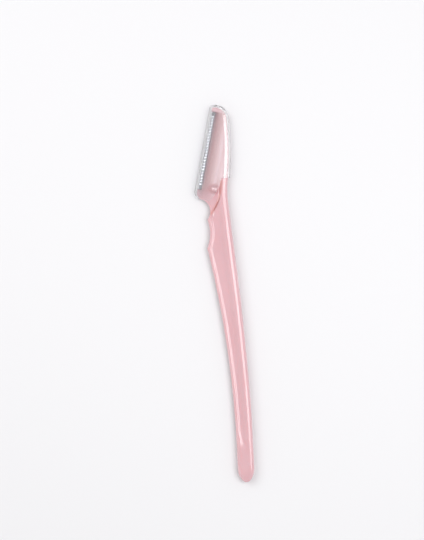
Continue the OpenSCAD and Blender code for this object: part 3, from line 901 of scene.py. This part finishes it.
# %% Mixes of a finish
class Finish(NodeSheet):
    """A finish with the mixes that the pieces of the razor use."""

    def noise(self, place, scale, detail=3, rough=0.5):
        inputs = {"Vector": place, "Scale": scale, "Detail": detail, "Roughness": rough}
        return self.node("TexNoise", "Fac", inputs)

    def ranged(self, value, from_low, from_high, low, high, way="LINEAR"):
        inputs = {"Value": value, "From Min": from_low, "From Max": from_high, "To Min": low, "To Max": high}
        return self.node("MapRange", "Result", inputs, interpolation_type=way)

    def spread(self, noise, low, high):
        """A noise, most of which lies from 0.3 to 0.7, turned into the range from low to high."""
        return self.ranged(noise, 0.3, 0.7, low, high)

    def fall(self, value, start, end):
        """One where the value is below the start, and zero beyond the end."""
        return self.ranged(value, start, end, 1.0, 0.0, "SMOOTHSTEP")

    def blend(self, share, first, second, way="MIX"):
        """The first colour where the share is zero, and the second, or their product, where it is one."""
        first, second = ((*tone, 1) if isinstance(tone, tuple) else tone for tone in (first, second))
        inputs = {"Factor": share, "A": first, "B": second}
        return self.node("Mix", "Result", inputs, data_type="RGBA", blend_type=way)

    def bump(self, height, strength, depth_mm, under=None):
        inputs = {"Height": height, "Strength": strength, "Distance": depth_mm * MM}
        if under is not None:
            inputs["Normal"] = under
        return self.node("Bump", "Normal", inputs)


def new_finish(name):
    return Finish(bpy.data.materials.new(name))


def wear(obj, finish):
    obj.data.materials.clear()
    obj.data.materials.append(finish.owner)


print("mixes:", [name for name in vars(Finish) if not name.startswith("_")])

# %% [markdown]
# Some shades follow the form of the head and not a noise. A shade can run along a direction, as across the
# blade, or fall off round a point, as at the stud. Both are distances that the nodes work out for each point.

# %% Distances on the razor
def along(finish, origin, way):
    """Distance in millimetres from a point of the razor along a direction of its plane."""
    reach = finish.vector("DOT_PRODUCT", "Value", finish.surface(), (way[0] / MM, way[1] / MM, 0))
    start = sum((base + shift) * part for base, shift, part in zip(origin, NECK, way))
    return finish.maths("SUBTRACT", reach, start)


def reach_from(finish, centre):
    """Distance in millimetres from a point of the razor, measured in its plane."""
    flat = finish.vector("MULTIPLY", "Vector", finish.surface(), (1 / MM, 1 / MM, 0))
    return finish.vector("DISTANCE", "Value", flat, (centre[0] + NECK.x, centre[1] + NECK.y, 0))


ACROSS_HEAD, ALONG_EDGE, ALONG_HANDLE = (COS, -SIN), (SIN, COS), (0, 1)
print("across the head is", [round(part, 3) for part in ACROSS_HEAD], "in the plane of the razor")

# %% [markdown]
# The blade sits deep in the head, and the head is painted darker over it, greyest beside the metal. Near the
# metal this stands for the steel showing through the plastic, and the rest is painted shade, which fades into
# the lobe below the edge and ends at the tip. A second, faint painted shade lies in the hollow beside the
# rib.
# A row of stops gives the shade at each distance from the edge.

# %% Painted shade over the buried blade
# Painted shade: the colour that the pink is multiplied by, at each distance from the edge
PAINTED_HEAD_SHADE = [(1.3, (0.30, 0.31, 0.35)), (2.1, (0.38, 0.31, 0.32)), (2.5, (0.51, 0.39, 0.39)),
               (3.0, (0.59, 0.45, 0.45)), (4.0, (0.65, 0.47, 0.47)), (4.9, (0.79, 0.62, 0.62)),
               (5.6, (0.94, 0.84, 0.84)), (6.3, (1.0, 1.0, 1.0)), (7.4, (0.90, 0.78, 0.80)),
               (8.4, (1.0, 1.0, 1.0))]
LOBE_FADE, TIP_FADE = (-5, 6.5), (BLADE_L - 0.3, BLADE_L + 0.6)


def colour_row(finish, value, stops):
    """A colour read from a row of stops by a value in the stops' own measure."""
    ramp = finish.nodes.new("ShaderNodeValToRGB")
    ramp.color_ramp.interpolation = "EASE"
    first, last = stops[0][0], stops[-1][0]
    elements = ramp.color_ramp.elements
    while len(elements) < len(stops):
        elements.new(0.5)
    for element, (at, tone) in zip(elements, stops):
        element.position, element.color = (at - first) / (last - first), (*tone, 1)
    finish.give(ramp, {"Fac": finish.ranged(value, first, last, 0, 1)})
    return ramp.outputs["Color"]


# Multiplies the pink by the painted shade, faded out below the lobe and at the tip
def painted_head_shade(finish, colour):
    shade = colour_row(finish, along(finish, FOOT, ACROSS_HEAD), PAINTED_HEAD_SHADE)
    v = along(finish, FOOT, ALONG_EDGE)
    below_tip = finish.fall(v, *TIP_FADE)
    above_lobe = finish.fall(finish.maths("MULTIPLY", v, -1), *LOBE_FADE)
    return finish.blend(finish.maths("MULTIPLY", below_tip, above_lobe), colour, shade, "MULTIPLY")


print("shade of the blade from", PAINTED_HEAD_SHADE[0][0], "to", PAINTED_HEAD_SHADE[-1][0], "mm from the edge")

# %% [markdown]
# A deeper, warmer painted shade lies in the crease at the foot of the step, where the orange line shows, and
# in a ring round the foot of the stud. Each is a soft band about a circle, so a distance from the circle's
# centre is all that the two painted shades need.

# %% Painted shade at the step and the stud
# Painted shade in the step's crease and round the stud's foot: colours that the pink is multiplied by
STEP_SHADE_TONE, STEP_SHADE_W, STEP_SHADE_SHIFT = (0.86, 0.67, 0.60), 0.85, -0.05
STEP_END_FROM, STEP_END_TO = -1.5, 0.5
STUD_SHADE_TONE, STUD_SHADE_R, STUD_SHADE_W = (0.79, 0.60, 0.61), 1.35, 1.4


def band(finish, centre, radius, width):
    """One on a circle, and zero at a width from it."""
    off = finish.maths("SUBTRACT", reach_from(finish, centre), radius)
    return finish.fall(finish.maths("ABSOLUTE", off), 0, width)


def step_shade(finish, colour):
    cx, cy, radius = arc_circle(*step_line)
    near = band(finish, (cx, cy), radius + STEP_SHADE_SHIFT, STEP_SHADE_W)
    half = -horn_y / 2
    off = finish.maths("SUBTRACT", along(finish, (0, 0), ALONG_HANDLE), -half)
    within = finish.fall(finish.maths("ABSOLUTE", off), half + STEP_END_FROM, half + STEP_END_TO)
    return finish.blend(finish.maths("MULTIPLY", near, within), colour, STEP_SHADE_TONE, "MULTIPLY")


def stud_shade(finish, colour):
    near = band(finish, to_razor(stud_u, stud_v), STUD_SHADE_R, STUD_SHADE_W)
    return finish.blend(near, colour, STUD_SHADE_TONE, "MULTIPLY")


print("tint of the step: to", STEP_SHADE_W, "mm, tint of the stud: to", STUD_SHADE_R + STUD_SHADE_W, "mm")

# %% [markdown]
# The pink plastic is opaque but lets light a little way in, so its thin edges stay soft. Its colour wanders
# very slightly, as dyed plastic does, and a fine orange peel breaks its gloss. A clear coat over a rougher
# base gives the sharp white line on top of a soft sheen.

# %% Pink plastic of the handle
PINK, PINK_DEEP = (0.76, 0.485, 0.52), (0.725, 0.445, 0.48)
CLOUD_STRETCH, CLOUD_SCALE, PEEL_SCALE, GRAIN_SCALE = (1, 0.35, 1), 0.11, 1.9, 9
# Strength of a bump, and its depth in millimetres
PEEL_BUMP, GRAIN_BUMP = (0.16, 0.02), (0.1, 0.005)
PLASTIC_IOR = 1.49
pink = new_finish("pink_plastic")
cloud = pink.noise(pink.place(CLOUD_STRETCH), CLOUD_SCALE, 4)
dye = pink.blend(pink.spread(cloud, 0, 1), PINK, PINK_DEEP)
peel = pink.noise(pink.place(), PEEL_SCALE, 2)
grain = pink.noise(pink.place(), GRAIN_SCALE, 3)
pink.give(pink.shader, {
    "Base Color": stud_shade(pink, step_shade(pink, painted_head_shade(pink, dye))),
    "Roughness": pink.spread(grain, 0.16, 0.24),
    "Normal": pink.bump(grain, *GRAIN_BUMP, under=pink.bump(peel, *PEEL_BUMP)),
    "IOR": PLASTIC_IOR,
    "Subsurface Weight": 0.35,
    "Subsurface Radius": (1.0, 0.55, 0.5),
    "Subsurface Scale": 0.9 * MM,
    "Coat Weight": 0.8,
    "Coat Roughness": 0.07,
})
print(pink.owner.name, "has", len(pink.nodes), "nodes")

# %% [markdown]
# The cap is clear with faint long waves from the mould. Over the head it is a little cloudy. The cloud is
# thinned beside the metal and at the lobe, as painted shade, so that the pink below stays darker there. A
# glass shader alone would keep the lamps' light off the pink below it, so for shadows and for scattered light
# the cap is simply a pale pane.

# %% Clear plastic of the cap
CLEAR_METAL, CLEAR_LOBE, HAZY, CLEAR = (1.4, 5.2), (0, 6), 0.82, 0.94
WAVE_STRETCH, WAVE_SCALE, WAVE_BUMP = (1, 0.3, 1), 0.22, (0.3, 0.05)
SCUFF_STRETCH, SCUFF_SCALE = (1, 0.2, 1), 3.5
clear = new_finish("clear_styrene")
wave = clear.noise(clear.place(WAVE_STRETCH), WAVE_SCALE, 2)
scuff = clear.noise(clear.place(SCUFF_STRETCH), SCUFF_SCALE, 4, 0.6)
# Painted shade: the cap is clearer here, so the pink below shows darker beside the metal and at the lobe
shade_by_metal = clear.fall(along(clear, FOOT, ACROSS_HEAD), *CLEAR_METAL)
shade_by_lobe = clear.fall(along(clear, FOOT, ALONG_EDGE), *CLEAR_LOBE)
clear.give(clear.shader, {
    "Base Color": (0.985, 0.985, 0.99, 1),
    "Roughness": clear.spread(scuff, 0.015, 0.05),
    "Normal": clear.bump(wave, *WAVE_BUMP),
    "IOR": PLASTIC_IOR,
    "Transmission Weight": clear.ranged(clear.maths("MAXIMUM", shade_by_metal, shade_by_lobe), 0, 1, HAZY, CLEAR),
})
pane = clear.node("BsdfTransparent", "BSDF", {"Color": (0.93, 0.93, 0.94, 1)})
rays = [clear.node("LightPath", ray, {}) for ray in ("Is Shadow Ray", "Is Diffuse Ray")]
choices = {0: clear.maths("MAXIMUM", *rays), 1: clear.shader.outputs["BSDF"], 2: pane}
clear.give(clear.nodes["Material Output"], {"Surface": clear.node("MixShader", "Shader", choices)})
print(clear.owner.name, "lets", HAZY, "to", CLEAR, "of the light through")

# %% [markdown]
# The blade and the guard are steel. The blade is ground, so its scratches run across the edge, and its steel
# is painted very dark, a painted shade for the blade in the shadow of the guard. The guard is a folded foil
# with a bright plated skin, a little uneven where it was punched. Both are one recipe with other values: a
# noise stretched into lines breaks up both the gloss and the surface.

# %% Steel of the blade and the guard
LINE_SCALE, LINE_DEPTH, STAIN_SCALE = 6, 0.004, 0.7
ROUGH_FROM, ROUGH_TO = 0.75, 1.3


def steel_finish(name, dark, bright, rough, stretch, scratch):
    steel = new_finish(name)
    lines = steel.noise(steel.place(stretch, BLADE_LEAN), LINE_SCALE, 4, 0.6)
    stain = steel.noise(steel.place(), STAIN_SCALE, 3)
    steel.give(steel.shader, {
        "Base Color": steel.blend(steel.spread(stain, 0, 1), dark, bright),
        "Roughness": steel.spread(lines, rough * ROUGH_FROM, rough * ROUGH_TO),
        "Normal": steel.bump(lines, scratch, LINE_DEPTH),
        "Metallic": 1.0,
    })
    return steel


# The blade's colour is painted shade: very dark steel, as for steel in the shadow of the guard
shaded_blade_steel = steel_finish("ground_steel_painted_dark", (0.09, 0.092, 0.10), (0.14, 0.142, 0.15), 0.2, (0.15, 3, 1), 0.3)
guard_steel = steel_finish("plated_foil", (0.49, 0.50, 0.54), (0.59, 0.60, 0.64), 0.14, (1, 0.4, 1), 0.10)
print("steels:", shaded_blade_steel.owner.name, "and", guard_steel.owner.name)

# %% [markdown]
# Each piece rides on its body, so that the cap slides off by itself and the rest stays together. The drawn
# pieces take the place of the plain ones in the packed model. The blade is kept as it is, since a ground
# strip is flat and sharp, and it only gets its steel.

# %% Dress the pieces
blade = bpy.data.objects["blade"]
for piece, body, finish, part in (
        *((moulding, "razor", pink, "handle_plastic") for moulding in (handle, *studs)),
        (cap, "cap", clear, "cap_plastic"), (guard, "razor", guard_steel, "guard_steel")):
    wear(piece, finish)
    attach(piece, body)
for piece, node in ((handle, "handle"), (cap, "cap"), (guard, "guard")):
    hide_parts(node)
wear(blade, shaded_blade_steel)
print("finishes:", [material.name for material in bpy.data.materials])

# %% [markdown]
# The razor lies on a plain pale table, slightly fibrous and quite rough, so that it takes a soft shadow and
# no reflection.

# %% Table
TABLE_COLOUR, FIBRE_SHADE, FIBRE_SCALE = (0.84, 0.84, 0.86), 0.99, 1.5
bpy.ops.mesh.primitive_plane_add(size=1.6)
table = bpy.context.object
table.name = "table"
paper = new_finish("pale_table")
fibre = paper.noise(paper.place(), FIBRE_SCALE, 4, 0.6)
paper.give(paper.shader, {
    "Base Color": paper.blend(fibre, TABLE_COLOUR, tuple(c * FIBRE_SHADE for c in TABLE_COLOUR)),
    "Roughness": 0.75,
})
wear(table, paper)
print("table", [round(value, 2) for value in table.dimensions[:2]], "m")

# %% [markdown]
# Glossy plastic shows the room that it lies in. Here the walls are bright and the ceiling is dimmer, so a
# surface that faces straight up stays pink and the sloping ones pick up pale edges.

# %% Room
WALL_LIGHT, CEILING_LIGHT, WALL_TOP, CEILING_FROM = 0.72, 0.2, 0.5, 0.97
room = Finish(bpy.data.worlds.new("bright_room"))
bpy.context.scene.world = room.owner
height = room.node("SeparateXYZ", "Z", {"Vector": room.node("TexCoord", "Generated", {})})
room.give(room.nodes["Background"], {
    "Color": (1.0, 0.99, 0.985, 1),
    "Strength": room.ranged(height, WALL_TOP, CEILING_FROM, WALL_LIGHT, CEILING_LIGHT, "SMOOTHSTEP"),
})
print("room: walls", WALL_LIGHT, "ceiling", CEILING_LIGHT)

# %% [markdown]
# A large soft panel in the upper left gives the soft shadow. It is kept out of the gloss, where it would lie
# over the flat web as a white veil. A second panel, a little to the right of overhead, is there for its
# reflection: the white line along the rib, along the cap's crest and on each bar of the guard.

# %% Lights
KEY_PLACE, KEY_SIZE, KEY_POWER = (-0.34, 0.25, 0.50), (0.45, 0.45), 1.7
LINE_PLACE, LINE_SIZE, LINE_POWER = (0.24, -0.01, 0.55), (0.40, 0.30), 1.75


def panel(name, place, size, power, colour=(1, 1, 1)):
    """A soft panel that faces the middle of the razor, its height along the razor."""
    light = bpy.data.lights.new(name, "AREA")
    light.shape = "RECTANGLE"
    light.size, light.size_y = size
    light.energy, light.color = power, colour
    lamp = bpy.data.objects.new(name, light)
    bpy.context.scene.collection.objects.link(lamp)
    back = Vector(place).normalized()
    side = Vector((0, 1, 0)).cross(back).normalized()
    turned = Matrix((side, back.cross(side), back)).transposed().to_4x4()
    lamp.matrix_world = Matrix.Translation(place) @ turned
    return lamp


key = panel("key_panel", KEY_PLACE, KEY_SIZE, KEY_POWER, (1, 0.99, 0.98))
key.visible_glossy = False
panel("spine_panel", LINE_PLACE, LINE_SIZE, LINE_POWER)
print("lights:", [light.name for light in bpy.data.lights])

# %% [markdown]
# The photograph looks straight down on the flat side, with the razor turned a few degrees. A long lens from
# far above gives that flat view. One pixel of the photograph is 0.397 mm at the razor, and the neck sits at
# the 228th column and the 178th row.

# %% Camera
PHOTO_W, PHOTO_H, MM_PER_PIXEL = 424, 540, 0.397
NECK_COLUMN, NECK_ROW, ROLL = 227.8, 178.0, math.radians(5.75)
SENSOR_W, LENS_SHARE = 36, 3.2
camera_data = bpy.data.cameras.new("camera")
camera = bpy.data.objects.new("camera", camera_data)
bpy.context.scene.collection.objects.link(camera)
bpy.context.scene.camera = camera
camera_data.sensor_fit = "AUTO"
camera_data.sensor_width = SENSOR_W
camera_data.lens = SENSOR_W * LENS_SHARE
distance = PHOTO_H * MM_PER_PIXEL * LENS_SHARE
across, up = PHOTO_W / 2 - NECK_COLUMN, NECK_ROW - PHOTO_H / 2
right_way = Vector((math.cos(ROLL), -math.sin(ROLL)))
up_way = Vector((math.sin(ROLL), math.cos(ROLL)))
centre = Vector((NECK.x, NECK.y)) + (right_way * across + up_way * up) * MM_PER_PIXEL
camera.location = (centre.x * MM, centre.y * MM, distance * MM)
camera.rotation_euler = (0, 0, -ROLL)
bpy.context.scene.view_settings.view_transform = "Standard"
print("camera over", [round(value, 1) for value in centre], "mm, from", round(distance), "mm")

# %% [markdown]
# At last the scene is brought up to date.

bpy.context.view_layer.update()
